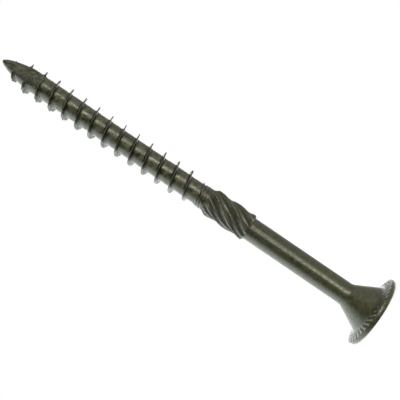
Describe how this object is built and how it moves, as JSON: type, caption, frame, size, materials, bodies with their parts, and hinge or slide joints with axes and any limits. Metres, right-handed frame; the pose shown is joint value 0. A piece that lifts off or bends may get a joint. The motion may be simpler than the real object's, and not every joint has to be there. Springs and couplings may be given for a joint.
{
  "type": "countersunk timber screw",
  "caption": "Coated steel timber screw: flanged countersunk head with teeth beneath, plain shank, ribbed shank cutter, coarse right-hand thread and cut point.",
  "frame": {"origin": "centre of the flat head face, on which the screw stands", "axes": "+Z along the screw from the head face to the point, -Y towards the side that the picture shows"},
  "size_m": [0.0132, 0.0132, 0.08],
  "materials": {
    "coated_steel": "thin olive-bronze coating on steel, half gloss, a little worn on sharp edges"
  },
  "bodies": {
    "root": {"screw": "coated_steel"}
  },
  "joints": []
}
